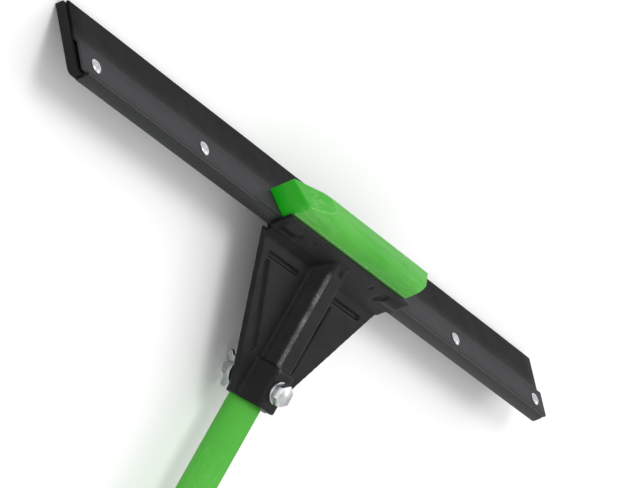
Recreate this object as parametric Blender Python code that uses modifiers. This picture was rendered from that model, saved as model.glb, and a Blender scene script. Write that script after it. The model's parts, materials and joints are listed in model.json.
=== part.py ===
"""Window cleaning squeegee: a twin rubber blade on a steel spine, a green centre
cap, a moulded fan bracket and a green tube handle held by a bolt and wing nut.

Metres, +Z up.  X runs along the blade, +Y points ahead of the tool, and the
handle runs back towards -Y.  The tool lies as it does on a floor: on the edge of
its rear blade and on the end cap of its handle.

Two frames carry the pieces.  The tool frame has its Y axis on the handle's axis.
The head frame is tilted by the blade angle: its Y axis points at the blade's free
edge, so a point b below that edge is at y = -b, and its Z axis points out of the
blade's front face.
"""
import math

import bpy
import bmesh
from mathutils import Matrix, Vector

# ---- driving dimensions -----------------------------------------------------
head_length = 0.610
blade_height = 0.0465
rear_blade_thickness = 0.0054
front_blade_thickness = 0.0018
front_blade_inset = 0.002
blade_corner_radius = 0.0036
bend_start = 0.0245
bend_end = 0.0285

spine_thickness = 0.0017
spine_inset = 0.007
spine_depth = 0.0183
lip_thickness = 0.0015
lip_back = 0.0047

handle_radius = 0.0112
handle_wall = 0.0009
handle_length = 1.220
handle_seat_start = 0.057
axis_height = 0.0263
blade_angle = math.radians(45.5)

bracket_length = 0.133
bolt_setback = 0.0134
fan_shoulder = 0.045
fan_top = 0.0388
fan_half_width = 0.071
fan_mouth_half_width = 0.0208
fan_face = 0.0035
fan_thickness = 0.004

slot_setback = 0.0058
slot_inner = 0.0225
slot_outer = 0.0575
slot_width = 0.0032
slot_depth = 0.0018
groove_setback = 0.0057
groove_stop = 0.030
groove_edge_distance = 0.0084
groove_rib_distance = 0.0115

flange_half_length = 0.078
flange_thickness = 0.003
flange_front = 0.0125
flange_back = -0.0026
back_plate_half_length = 0.068
back_plate_thickness = 0.0035
back_plate_top = 0.028

hood_start = 0.029
hood_hollow_place = 0.0375
hood_hollow_radius = 0.006
hood_hollow_depth = 0.0011
hood_overlap = 0.016
hood_cover = 0.0011
hood_top_half_width = 0.0075
hood_base_inset = 0.0005
boss_length = 0.027
boss_rise = 0.0022
boss_top_half_width = 0.0095
boss_side = 0.002
socket_wall = 0.0025
socket_start = 0.052
pad_radius = 0.0086
pad_rise = 0.0015

cap_half_length = 0.0845
cap_bottom_half_length = 0.0735
cap_top = 0.031
cap_reach = 0.0283
cap_left_end_reach = 0.0215
cap_right_end_reach = 0.0272
cap_end_run = 0.0395
cap_nose_radius = 0.008
cap_wall = 0.003
cap_pocket_half_length = 0.034

rivet_row = 0.0384
rivet_positions = (0.166, 0.288)
rivet_head_radius = 0.0044
rivet_head_height = 0.0013
rivet_shank_radius = 0.0024
rivet_tail_radius = 0.0040
rivet_tail_height = 0.0014
rivet_washer_radius = 0.0060
rivet_washer_thickness = 0.0010

head_bolt_position = 0.044
head_bolt_radius = 0.003
head_bolt_across_flats = 0.010
head_bolt_head_height = 0.004
head_bolt_reach = 0.0175
captive_nut_thickness = 0.005
captive_nut_setback = 0.0105

dimple_position = 0.0519
dimple_out = 0.0018
dimple_radius = 0.003
notch_position = 0.0378
notch_out = 0.0056
notch_radius = 0.0027
ridge_position = 0.066
ridge_out = 0.005
ridge_length = 0.018
ridge_width = 0.008
ridge_rise = 0.0014
mark_depth = 0.0007

clamp_bolt_radius = 0.004
clamp_bolt_across_flats = 0.013
clamp_bolt_head_height = 0.0053
clamp_bolt_tail = 0.0016
bolt_washer_radius = 0.0075
bolt_washer_thickness = 0.0016
nut_washer_radius = 0.0080
nut_washer_thickness = 0.0014
wing_hub_radius = 0.0066
wing_hub_end_radius = 0.0052
wing_hub_height = 0.0065
wing_tip_radius = 0.0028
wing_tip_distance = 0.0099
wing_thickness = 0.0024
wing_drop = 0.0027
wing_rest_angle = math.radians(119.0)

end_cap_wall = 0.0011
end_cap_skirt = 0.025
end_cap_tail = 0.024
end_cap_flat_radius = 0.0085
hang_hole_radius = 0.004
hang_hole_setback = 0.012

fit_gap = 0.0003
thread_gap = 0.0001
cut_over = 0.004
turn_steps = 40
small_turn_steps = 24

# ---- places worked out from them --------------------------------------------
front_inner = fit_gap / 2
front_outer = front_inner + front_blade_thickness
bend_offset = spine_thickness + fit_gap
front_face = front_outer + bend_offset
rear_inner = -fit_gap / 2
rear_back = rear_inner - rear_blade_thickness

lip_top = blade_height + fit_gap
lip_bottom = lip_top + lip_thickness
spine_top = lip_top - spine_depth
flange_top = lip_bottom + fit_gap
flange_bottom = flange_top + flange_thickness
back_plate_face = rear_back - fit_gap
back_plate_back = back_plate_face - back_plate_thickness
cap_root = front_face + fit_gap

bore_radius = handle_radius + fit_gap
socket_radius = bore_radius + socket_wall
hood_height = socket_radius + hood_cover
hood_base_half_width = socket_radius - hood_base_inset
boss_base_half_width = socket_radius + boss_side
pad_height = socket_radius + pad_rise
end_cap_radius = bore_radius + end_cap_wall
handle_front = handle_seat_start
handle_back = handle_front + handle_length
bolt_place = bracket_length - bolt_setback
boss_height = hood_height + boss_rise
fan_slope = (fan_half_width - fan_mouth_half_width) / (bracket_length - fan_shoulder)
clamp_hole_radius = clamp_bolt_radius + fit_gap

bolt_washer_low = boss_height + fit_gap
bolt_head_low = bolt_washer_low + bolt_washer_thickness + fit_gap
bolt_head_top = bolt_head_low + clamp_bolt_head_height
nut_washer_top = -pad_height - fit_gap
nut_washer_low = nut_washer_top - nut_washer_thickness
wing_hub_top = nut_washer_low - fit_gap
wing_hub_low = wing_hub_top - wing_hub_height
clamp_bolt_low = wing_hub_low - clamp_bolt_tail
thread_radius = clamp_bolt_radius + thread_gap

end_cap_back = handle_back + end_cap_tail
end_cap_round = end_cap_radius - end_cap_flat_radius
cap_contact = end_cap_back - end_cap_round


def head_to_tool(b, n):
    """Where a head frame point (b below the free edge, n out) is in the tool frame."""
    y = -b * math.cos(blade_angle) + n * math.sin(blade_angle)
    z = b * math.sin(blade_angle) + n * math.cos(blade_angle) - axis_height
    return y, z


# The rear blade's edge and the end cap both touch the ground.
edge_y, edge_z = head_to_tool(0.0, rear_back)
rest_slope = math.atan2(-end_cap_radius - edge_z, cap_contact + edge_y)
ground_shift = -(edge_y * math.sin(rest_slope) + edge_z * math.cos(rest_slope))
tip_y, tip_z = head_to_tool(0.0, front_outer)
front_reach = tip_y * math.cos(rest_slope) - tip_z * math.sin(rest_slope)
back_reach = -end_cap_back * math.cos(rest_slope) - end_cap_flat_radius * math.sin(rest_slope)
centre_shift = -(front_reach + back_reach) / 2


# ---- scene ------------------------------------------------------------------
def clear_scene():
    for old in list(bpy.data.objects):
        bpy.data.objects.remove(old, do_unlink=True)


def new_collection(name):
    collection = bpy.data.collections.new(name)
    bpy.context.scene.collection.children.link(collection)
    return collection


def new_frame(name, location, tilt, parent=None):
    """An empty that carries the pieces of one frame."""
    frame = bpy.data.objects.new(name, None)
    frame.location = location
    frame.rotation_euler = (tilt, 0.0, 0.0)
    frame.parent = parent
    parts.objects.link(frame)
    return frame


def new_material(name, colour, roughness, metallic):
    material = bpy.data.materials.new(name)
    material.use_nodes = True
    shader = material.node_tree.nodes["Principled BSDF"]
    shader.inputs["Base Color"].default_value = (*colour, 1.0)
    shader.inputs["Roughness"].default_value = roughness
    shader.inputs["Metallic"].default_value = metallic
    return material


# ---- modelling tools --------------------------------------------------------
def place(obj, frame, location=(0, 0, 0), rotation=(0, 0, 0)):
    obj.parent = frame
    obj.location = location
    obj.rotation_euler = rotation
    return obj


def into(obj, collection):
    for old in list(obj.users_collection):
        old.objects.unlink(obj)
    collection.objects.link(obj)
    return obj


def finish(obj, name, material):
    """Names a part, gives it its material and smooths its round faces."""
    obj.name = name
    obj.data.name = name
    obj.data.materials.clear()
    obj.data.materials.append(material)
    obj.data.shade_smooth()
    obj.data.set_sharp_from_angle(angle=math.radians(32))
    return into(obj, parts)


def as_cutter(obj, name):
    obj.name = name
    obj.hide_render = True
    obj.display_type = "WIRE"
    return into(obj, cutters)


def box(low, high, frame):
    """A box between two corners of a frame."""
    bpy.ops.mesh.primitive_cube_add(size=1.0)
    obj = bpy.context.object
    size = Vector(high) - Vector(low)
    obj.data.transform(Matrix.Diagonal((*size, 1.0)))
    return place(obj, frame, (Vector(low) + Vector(high)) / 2)


def cylinder(radius, low, high, axis, frame, centre=(0, 0, 0), sides=turn_steps):
    """A cylinder from low to high along one axis of a frame."""
    bpy.ops.mesh.primitive_cylinder_add(radius=radius, depth=high - low, vertices=sides)
    obj = bpy.context.object
    turn = {"X": (0, math.pi / 2, 0), "Y": (math.pi / 2, 0, 0), "Z": (0, 0, 0)}[axis]
    location = Vector(centre)
    location["XYZ".index(axis)] = (low + high) / 2
    return place(obj, frame, location, turn)


def hexagon(across_flats, low, high, frame, centre=(0, 0, 0)):
    """A six-sided prism along Z, such as a nut or a bolt head."""
    return cylinder(across_flats / math.sqrt(3), low, high, "Z", frame, centre, sides=6)


def turned(profile, frame, location=(0, 0, 0), rotation=(0, 0, 0), closed=False, steps=turn_steps):
    """A shape turned round Z from (radius, height) points that run down its outer side."""
    mesh = bpy.data.meshes.new("turned")
    bm = bmesh.new()
    verts = [bm.verts.new((radius, 0.0, height)) for radius, height in profile]
    for first, second in zip(verts, verts[1:]):
        bm.edges.new((first, second))
    if closed:
        bm.edges.new((verts[-1], verts[0]))
    bm.to_mesh(mesh)
    bm.free()
    obj = bpy.data.objects.new("turned", mesh)
    parts.objects.link(obj)
    screw = obj.modifiers.new("Turn", "SCREW")
    screw.steps = steps
    screw.render_steps = steps
    screw.use_merge_vertices = True
    screw.merge_threshold = 0.00001
    return place(obj, frame, location, rotation)


def prism(points, depth, frame, location=(0, 0, 0), axis="Z", turn=0.0):
    """A flat outline given half its thickness each way, square to one axis of a frame.

    The outline's own axes are X, Y for axis Z, Y, Z for axis X and X, Z for axis Y.
    """
    curve = bpy.data.curves.new("outline", "CURVE")
    curve.dimensions = "2D"
    curve.fill_mode = "BOTH"
    curve.extrude = depth / 2
    spline = curve.splines.new("POLY")
    spline.points.add(len(points) - 1)
    for point, (u, v) in zip(spline.points, points):
        point.co = (u, v, 0.0, 1.0)
    spline.use_cyclic_u = True
    drawn = bpy.data.objects.new("outline", curve)
    parts.objects.link(drawn)
    turns = {
        "Z": Matrix.Identity(3),
        "X": Matrix(((0, 0, 1), (1, 0, 0), (0, 1, 0))),
        "Y": Matrix(((1, 0, 0), (0, 0, -1), (0, 1, 0))),
    }
    about = Matrix.Rotation(turn, 3, "Z")
    place(drawn, frame, location, (about @ turns[axis]).to_euler())
    bpy.context.view_layer.update()
    return to_mesh(drawn)


def to_mesh(drawn):
    """Turns a curve object into a welded mesh object in the same place."""
    graph = bpy.context.evaluated_depsgraph_get()
    mesh = bpy.data.meshes.new_from_object(drawn.evaluated_get(graph))
    bm = bmesh.new()
    bm.from_mesh(mesh)
    bmesh.ops.remove_doubles(bm, verts=bm.verts, dist=0.000005)
    bmesh.ops.dissolve_limit(bm, angle_limit=0.001, verts=bm.verts, edges=bm.edges)
    bm.to_mesh(mesh)
    bm.free()
    obj = bpy.data.objects.new("prism", mesh)
    parts.objects.link(obj)
    parent = drawn.parent
    matrix = drawn.matrix_world.copy()
    bpy.data.objects.remove(drawn, do_unlink=True)
    obj.parent = parent
    bpy.context.view_layer.update()
    obj.matrix_world = matrix
    return obj


def combine(obj, other, operation, name):
    """Adds a Boolean whose second shape is kept as a hidden cutter."""
    as_cutter(other, name)
    modifier = obj.modifiers.new(name, "BOOLEAN")
    modifier.operation = operation
    modifier.solver = "EXACT"
    modifier.object = other
    return obj


def soften(obj, width, segments=2, angle=35):
    bevel = obj.modifiers.new("Rounded edges", "BEVEL")
    bevel.width = width
    bevel.segments = segments
    bevel.limit_method = "ANGLE"
    bevel.angle_limit = math.radians(angle)
    bevel.harden_normals = False
    return obj


def arc(centre, radius, start, end, steps):
    """Points on an arc, from one angle in degrees to another."""
    points = []
    for step in range(steps + 1):
        angle = math.radians(start + (end - start) * step / steps)
        points.append((centre[0] + radius * math.cos(angle), centre[1] + radius * math.sin(angle)))
    return points


def slot_outline(length, width, steps=8):
    """A slot with round ends, along the outline's first axis."""
    reach = (length - width) / 2
    return arc((reach, 0), width / 2, -90, 90, steps) + arc((-reach, 0), width / 2, 90, 270, steps)


def rounded_rectangle(half_length, low, high, radius, steps=5):
    """A rectangle whose two lower corners are round."""
    points = [(half_length, high), (-half_length, high)]
    points += arc((-half_length + radius, low + radius), radius, 180, 270, steps)
    points += arc((half_length - radius, low + radius), radius, 270, 360, steps)
    return points


def bend_at(b):
    """How far the front blade stands out at a height, where it passes over the spine."""
    share = min(1.0, max(0.0, (b - bend_start) / (bend_end - bend_start)))
    return bend_offset * share * share * (3 - 2 * share)


def make_front_blade():
    bend_steps = 6
    heights = [0.0]
    for step in range(bend_steps + 1):
        heights.append(bend_start + (bend_end - bend_start) * step / bend_steps)
    heights.append(blade_height)
    outer = [(-b, front_outer + bend_at(b)) for b in heights]
    inner = [(-b, front_inner + bend_at(b)) for b in reversed(heights)]
    half = head_length / 2 - front_blade_inset
    blade = prism(outer + inner, 2 * half, head_frame, axis="X")
    rim = rounded_rectangle(half, -blade_height, cut_over, blade_corner_radius)
    trim = prism(rim, 4 * cut_over, head_frame, axis="Z")
    combine(blade, trim, "INTERSECT", "front_blade_rim")
    drill_blade_holes(blade, "front_blade")
    return finish(blade, "front_blade", rubber)


def make_rear_blade():
    half = head_length / 2
    rim = rounded_rectangle(half, -blade_height, 0.0, blade_corner_radius)
    middle = (rear_inner + rear_back) / 2
    blade = prism(rim, rear_blade_thickness, head_frame, (0, 0, middle))
    drill_blade_holes(blade, "rear_blade")
    return finish(blade, "rear_blade", foam)


def make_spine_bar():
    section = [
        (-spine_top, front_inner + spine_thickness),
        (-lip_top, front_inner + spine_thickness),
        (-lip_top, front_face),
        (-lip_bottom, front_face),
        (-lip_bottom, -lip_back),
        (-lip_top, -lip_back),
        (-lip_top, front_inner),
        (-spine_top, front_inner),
    ]
    bar = prism(section, head_length - 2 * spine_inset, head_frame, axis="X")
    drill_blade_holes(bar, "spine_bar")
    return finish(bar, "spine_bar", black_steel)


def drill_blade_holes(obj, name):
    """The rivet holes and the two bolt holes that run through every layer."""
    for side in (-1, 1):
        for number, position in enumerate(rivet_positions, 1):
            hole = cylinder(rivet_shank_radius + fit_gap, back_plate_back, cap_root, "Z", head_frame,
                            (side * position, -rivet_row, 0), small_turn_steps)
            combine(obj, hole, "DIFFERENCE", f"{name}_rivet_hole_{side_name(side)}_{number}")
        hole = cylinder(head_bolt_radius + fit_gap, back_plate_back, cap_root, "Z", head_frame,
                        (side * head_bolt_position, -rivet_row, 0), small_turn_steps)
        combine(obj, hole, "DIFFERENCE", f"{name}_bolt_hole_{side_name(side)}")


def side_name(side):
    return "right" if side > 0 else "left"


def make_rivets():
    head_low = front_face + fit_gap
    head_top = head_low + rivet_head_height
    washer_high = rear_back - fit_gap
    washer_low = washer_high - rivet_washer_thickness
    tail_high = washer_low - fit_gap
    tail_low = tail_high - rivet_tail_height
    hollow = rivet_head_radius * 0.32
    profile = [
        (0.0, head_top - 0.5 * rivet_head_height),
        (hollow, head_top - 0.5 * rivet_head_height),
        (hollow * 1.15, head_top),
        (rivet_head_radius * 0.62, head_top),
        (rivet_head_radius * 0.88, head_top - 0.3 * rivet_head_height),
        (rivet_head_radius, head_low + 0.15 * rivet_head_height),
        (rivet_head_radius, head_low),
        (rivet_shank_radius, head_low),
        (rivet_shank_radius, tail_high),
        (rivet_tail_radius, tail_high),
        (rivet_tail_radius * 0.8, tail_low),
        (0.0, tail_low),
    ]
    ring = [
        (rivet_shank_radius + fit_gap, washer_high),
        (rivet_washer_radius, washer_high),
        (rivet_washer_radius, washer_low),
        (rivet_shank_radius + fit_gap, washer_low),
    ]
    for side in (-1, 1):
        for number, position in enumerate(rivet_positions, 1):
            spot = (side * position, -rivet_row, 0)
            rivet = turned(profile, head_frame, spot, steps=small_turn_steps)
            finish(rivet, f"rivet_{side_name(side)}_{number}", zinc)
            washer = turned(ring, head_frame, spot, closed=True, steps=small_turn_steps)
            finish(washer, f"rivet_washer_{side_name(side)}_{number}", zinc)


# ---- centre cap -------------------------------------------------------------
def make_centre_cap():
    nose_centre = (-lip_bottom + cap_nose_radius, cap_reach - cap_nose_radius)
    section = [(-cap_top, cap_root), (-lip_bottom, cap_root)]
    section += arc(nose_centre, cap_nose_radius, 180, 90, 8)
    section += [(-cap_top - 0.0015, cap_reach - 0.0006), (-cap_top, cap_reach - 0.0018)]
    cap = prism(section, 2 * cap_half_length + 2 * cut_over, head_frame, axis="X")

    drop = lip_bottom - cap_top
    slope = (cap_half_length - cap_bottom_half_length) / drop
    over = cut_over
    front_view = [
        (cap_half_length + slope * over, -cap_top + over),
        (-cap_half_length - slope * over, -cap_top + over),
        (-cap_bottom_half_length + slope * over, -lip_bottom - over),
        (cap_bottom_half_length - slope * over, -lip_bottom - over),
    ]
    ends = prism(front_view, 4 * cap_reach, head_frame)
    combine(cap, ends, "INTERSECT", "centre_cap_ends")

    left_run = (cap_reach - cap_left_end_reach) / cap_end_run
    right_run = (cap_reach - cap_right_end_reach) / cap_end_run
    plan = [
        (cap_half_length + over, -over),
        (cap_half_length + over, cap_right_end_reach - right_run * over),
        (cap_half_length - cap_end_run - over, cap_reach + right_run * over),
        (-cap_half_length + cap_end_run + over, cap_reach + left_run * over),
        (-cap_half_length - over, cap_left_end_reach - left_run * over),
        (-cap_half_length - over, -over),
    ]
    taper = prism(plan, 6 * cap_reach, head_frame, axis="Y")
    combine(cap, taper, "INTERSECT", "centre_cap_taper")
    soften(cap, 0.0008, 2)

    for side in (-1, 1):
        tag = side_name(side)
        inner = side * cap_wall / 4
        outer = side * cap_pocket_half_length
        pocket = box((min(inner, outer), -lip_bottom + cap_wall, cap_root + cap_wall),
                     (max(inner, outer), 0.0, cap_reach - cap_wall), head_frame)
        combine(cap, pocket, "DIFFERENCE", f"centre_cap_pocket_{tag}")
        x = side * head_bolt_position
        hole = cylinder(head_bolt_radius + fit_gap, 0.0, head_bolt_reach + 2 * fit_gap, "Z", head_frame,
                        (x, -rivet_row, 0), small_turn_steps)
        combine(cap, hole, "DIFFERENCE", f"centre_cap_bolt_hole_{tag}")
        half_width = head_bolt_across_flats / 2 + fit_gap
        floor = rivet_row + head_bolt_across_flats / math.sqrt(3) + fit_gap
        nut_slot = box((x - half_width, -floor, captive_nut_setback - fit_gap),
                       (x + half_width, 0.0, captive_nut_setback + captive_nut_thickness + fit_gap), head_frame)
        combine(cap, nut_slot, "DIFFERENCE", f"centre_cap_nut_slot_{tag}")
    return finish(cap, "centre_cap", green_plastic)


# ---- bracket ----------------------------------------------------------------
def fan_edge(distance):
    """Half the fan's width at a distance down its axis."""
    return fan_half_width - fan_slope * (distance - fan_shoulder)


def make_bracket():
    right = [(fan_mouth_half_width, -bracket_length), (fan_edge(fan_top), -fan_top)]
    outline = right + [(-x, y) for x, y in reversed(right)]
    bracket = prism(outline, fan_thickness, tool_frame, (0, 0, fan_face - fan_thickness / 2))

    flange = box((-flange_half_length, -flange_bottom, flange_back),
                 (flange_half_length, -flange_top, flange_front), head_frame)
    combine(bracket, flange, "UNION", "bracket_flange")
    web_half_length = fan_edge(fan_top) - 0.0004
    web = box((-web_half_length, -flange_bottom + 0.0002, back_plate_back + 0.0003),
              (web_half_length, -flange_top - 0.0002, flange_back + 0.001), head_frame)
    combine(bracket, web, "UNION", "bracket_web")
    plate = box((-back_plate_half_length, -flange_bottom + 0.0004, back_plate_back + 0.0002),
                (back_plate_half_length, -back_plate_top, back_plate_face), head_frame)
    combine(bracket, plate, "UNION", "bracket_back_plate")
    add_flange_ridges(bracket)
    add_socket(bracket)
    cut_hood_hollow(bracket)
    cut_bracket(bracket)
    return finish(bracket, "bracket", black_plastic)


def add_flange_ridges(bracket):
    """The low round swelling near each end of the flange."""
    radius = (ridge_width ** 2 / 4 + ridge_rise ** 2) / (2 * ridge_rise)
    sweep = math.degrees(math.asin(ridge_width / 2 / radius))
    root = -flange_bottom + flange_thickness / 2
    outline = arc((-flange_bottom - ridge_rise + radius, ridge_out), radius, 180 - sweep, 180 + sweep, 8)
    outline = [(root, outline[0][1])] + outline + [(root, outline[-1][1])]
    for side in (-1, 1):
        ridge = prism(outline, ridge_length, head_frame, (side * ridge_position, 0, 0), axis="X")
        combine(bracket, ridge, "UNION", f"bracket_ridge_{side_name(side)}")


def hood_section(base, top, height):
    """Half hexagon that covers the handle: wide at the fan, narrow on top."""
    root = fan_face - 0.7 * fan_thickness
    shoulder = fan_face + 0.0006
    return [(-base, root), (base, root), (base, shoulder), (top, height), (-top, height), (-base, shoulder)]


def add_socket(bracket):
    hood_end = bracket_length - boss_length + hood_overlap
    hood = prism(hood_section(hood_base_half_width, hood_top_half_width, hood_height),
                 hood_end - hood_start, tool_frame, (0, -(hood_start + hood_end) / 2, 0), axis="Y")
    soften(hood, 0.0012)
    behind_flange = box((-0.03, -2 * bracket_length, -bracket_length),
                        (0.03, -flange_top - flange_thickness / 2, bracket_length), head_frame)
    combine(hood, behind_flange, "INTERSECT", "bracket_hood_front")
    combine(bracket, hood, "UNION", "bracket_hood")
    boss_middle = bracket_length - boss_length / 2
    boss = prism(hood_section(boss_base_half_width, boss_top_half_width, boss_height),
                 boss_length, tool_frame, (0, -boss_middle, 0), axis="Y")
    soften(boss, 0.0012)
    combine(bracket, boss, "UNION", "bracket_boss")
    barrel = cylinder(socket_radius, -bracket_length + 0.0002, -socket_start, "Y", tool_frame)
    combine(bracket, barrel, "UNION", "bracket_barrel")
    pad = cylinder(pad_radius, -pad_height, 0.0, "Z", tool_frame, (0, -bolt_place, 0), small_turn_steps)
    combine(bracket, pad, "UNION", "bracket_pad")


def cut_hood_hollow(bracket):
    """The shallow round hollow at the front of the hood's top."""
    middle = hood_height + hood_hollow_radius - hood_hollow_depth
    bowl = [(0.0, middle), (hood_hollow_radius, middle)]
    for step in range(1, 9):
        angle = math.radians(90 * step / 8)
        bowl.append((hood_hollow_radius * math.cos(angle), middle - hood_hollow_radius * math.sin(angle)))
    bowl[-1] = (0.0, middle - hood_hollow_radius)
    ball = turned(bowl, tool_frame, (0, -hood_hollow_place, 0), steps=small_turn_steps)
    combine(bracket, ball, "DIFFERENCE", "bracket_hood_hollow")


def cut_bracket(bracket):
    bore = cylinder(bore_radius, -bracket_length - cut_over, -handle_front + fit_gap, "Y", tool_frame)
    combine(bracket, bore, "DIFFERENCE", "bracket_bore")
    cross = cylinder(clamp_hole_radius, -pad_height - cut_over, boss_height + cut_over, "Z", tool_frame,
                     (0, -bolt_place, 0), small_turn_steps)
    combine(bracket, cross, "DIFFERENCE", "bracket_cross_hole")
    for side in (-1, 1):
        tag = side_name(side)
        hole = cylinder(head_bolt_radius + fit_gap, back_plate_back - cut_over, back_plate_face + cut_over / 2,
                        "Z", head_frame, (side * head_bolt_position, -rivet_row, 0), small_turn_steps)
        combine(bracket, hole, "DIFFERENCE", f"bracket_bolt_hole_{tag}")
        dimple = cylinder(dimple_radius, -flange_bottom - cut_over, -flange_bottom + mark_depth, "Y", head_frame,
                          (side * dimple_position, 0, dimple_out), small_turn_steps)
        combine(bracket, dimple, "DIFFERENCE", f"bracket_dimple_{tag}")
        notch = cylinder(notch_radius, -flange_bottom - cut_over, -flange_bottom + mark_depth, "Y", head_frame,
                         (side * notch_position, 0, notch_out), 3)
        combine(bracket, notch, "DIFFERENCE", f"bracket_notch_{tag}")
    slot_line = fan_shoulder + slot_setback
    groove_start = slot_line + groove_setback
    groove_end = bracket_length - groove_stop
    near_rib = hood_base_half_width + groove_rib_distance
    cuts = [
        ("slot_left", (-slot_outer, slot_line), (-slot_inner, slot_line), slot_width),
        ("slot_right", (slot_inner, slot_line), (slot_outer, slot_line), slot_width),
        ("groove_left", (-fan_edge(groove_start) + groove_edge_distance, groove_start),
         (-fan_edge(groove_end) + 1.6 * groove_edge_distance, groove_end), 1.5 * slot_width),
        ("groove_right", (near_rib, groove_start), (near_rib - 0.001, groove_end), 0.7 * slot_width),
    ]
    for name, start, end, width in cuts:
        across = end[0] - start[0]
        along = end[1] - start[1]
        length = math.hypot(across, along) + width
        middle = ((start[0] + end[0]) / 2, -(start[1] + end[1]) / 2, fan_face - slot_depth + cut_over)
        groove = prism(slot_outline(length, width), 2 * cut_over, tool_frame, middle,
                       turn=-math.atan2(along, across))
        combine(bracket, groove, "DIFFERENCE", f"bracket_{name}")


# ---- fasteners --------------------------------------------------------------
def make_head_bolts():
    head_high = back_plate_back - fit_gap
    head_low = head_high - head_bolt_head_height
    nut_low = captive_nut_setback
    nut_high = nut_low + captive_nut_thickness
    for side in (-1, 1):
        tag = side_name(side)
        spot = (side * head_bolt_position, -rivet_row, 0)
        bolt = cylinder(head_bolt_radius, head_low + 0.001, head_bolt_reach, "Z", head_frame, spot, small_turn_steps)
        head = hexagon(head_bolt_across_flats, head_low, head_high, head_frame, spot)
        combine(bolt, head, "UNION", f"head_bolt_{tag}_hexagon")
        finish(bolt, f"head_bolt_{tag}", zinc)
        nut = hexagon(head_bolt_across_flats, nut_low, nut_high, head_frame, spot)
        thread = cylinder(head_bolt_radius + fit_gap, nut_low - cut_over, nut_high + cut_over, "Z", head_frame,
                          spot, small_turn_steps)
        combine(nut, thread, "DIFFERENCE", f"captive_nut_{tag}_bore")
        finish(nut, f"captive_nut_{tag}", zinc)


def make_clamp_bolt():
    spot = (0, -bolt_place, 0)
    bolt = cylinder(clamp_bolt_radius, clamp_bolt_low, bolt_head_low + 0.001, "Z", tool_frame, spot, small_turn_steps)
    head = hexagon(clamp_bolt_across_flats, bolt_head_low, bolt_head_top, tool_frame, spot)
    combine(bolt, head, "UNION", "clamp_bolt_hexagon")
    crown = turned([(0.0, bolt_head_top + 0.0006), (clamp_bolt_across_flats * 0.36, bolt_head_top + 0.0003),
                    (clamp_bolt_across_flats * 0.46, bolt_head_top - 0.0006), (0.0, bolt_head_top - 0.0006)],
                   tool_frame, spot, steps=small_turn_steps)
    combine(bolt, crown, "UNION", "clamp_bolt_crown")
    return finish(bolt, "clamp_bolt", zinc)


def make_washer(name, radius, low, high):
    ring = [(clamp_hole_radius, high), (radius, high), (radius, low), (clamp_hole_radius, low)]
    washer = turned(ring, tool_frame, (0, -bolt_place, 0), closed=True, steps=small_turn_steps)
    return finish(washer, name, zinc)


def make_wing_nut():
    """Its origin is on the bolt's axis, and its wings are turned to their rest angle."""
    hub = [
        (thread_radius, wing_hub_top),
        (wing_hub_radius, wing_hub_top),
        (wing_hub_radius, wing_hub_top - 0.0015),
        (wing_hub_end_radius, wing_hub_low),
        (thread_radius, wing_hub_low),
    ]
    spot = (0, -bolt_place, 0)
    nut = turned(hub, tool_frame, spot, (0, 0, wing_rest_angle), closed=True, steps=small_turn_steps)
    tip_z = wing_hub_low - wing_drop + wing_tip_radius
    web_inner = clamp_bolt_radius + 0.0008
    for side in (-1, 1):
        tag = side_name(side)
        reach = side * wing_tip_distance
        tip = cylinder(wing_tip_radius, -wing_thickness / 2, wing_thickness / 2, "Y", nut,
                       (reach, 0, tip_z), small_turn_steps)
        web = box((min(side * web_inner, reach), -wing_thickness / 2 + 0.0001, tip_z - wing_tip_radius * 0.55),
                  (max(side * web_inner, reach), wing_thickness / 2 - 0.0001, wing_hub_top - 0.0018), nut)
        combine(nut, web, "UNION", f"wing_nut_web_{tag}")
        combine(nut, tip, "UNION", f"wing_nut_tip_{tag}")
    return finish(nut, "wing_nut", zinc)


# ---- handle -----------------------------------------------------------------
def make_handle_tube():
    inner = handle_radius - handle_wall
    ring = [(inner, handle_length), (handle_radius, handle_length), (handle_radius, 0.0), (inner, 0.0)]
    tube = turned(ring, tool_frame, (0, -handle_front, 0), (math.pi / 2, 0, 0), closed=True)
    cross = cylinder(clamp_hole_radius, -handle_radius - cut_over, handle_radius + cut_over, "Z", tool_frame,
                     (0, -bolt_place, 0), small_turn_steps)
    combine(tube, cross, "DIFFERENCE", "handle_tube_cross_hole")
    return finish(tube, "handle_tube", green_paint)


def make_end_cap():
    """A cup over the tube's end, turned from its flat end face down to the skirt."""
    top = end_cap_tail
    inner = handle_radius + fit_gap
    rounding = arc((end_cap_flat_radius, top - end_cap_round), end_cap_round, 90, 0, 5)
    profile = [(0.0, top)] + rounding
    profile += [(end_cap_radius, -end_cap_skirt), (inner, -end_cap_skirt), (inner, fit_gap), (0.0, fit_gap)]
    cap = turned(profile, tool_frame, (0, -handle_back, 0), (math.pi / 2, 0, 0))
    hole = cylinder(hang_hole_radius, -end_cap_radius - cut_over, end_cap_radius + cut_over, "X", tool_frame,
                    (0, -(end_cap_back - hang_hole_setback), 0), small_turn_steps)
    combine(cap, hole, "DIFFERENCE", "end_cap_hang_hole")
    return finish(cap, "end_cap", black_plastic)


# ---- build ------------------------------------------------------------------
clear_scene()
parts = new_collection("window_squeegee")
cutters = new_collection("cutters")
tool_frame = new_frame("tool_frame", (0.0, centre_shift, ground_shift), rest_slope)
head_frame = new_frame("head_frame", (0.0, 0.0, -axis_height), -blade_angle, tool_frame)
bpy.context.view_layer.update()

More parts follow.
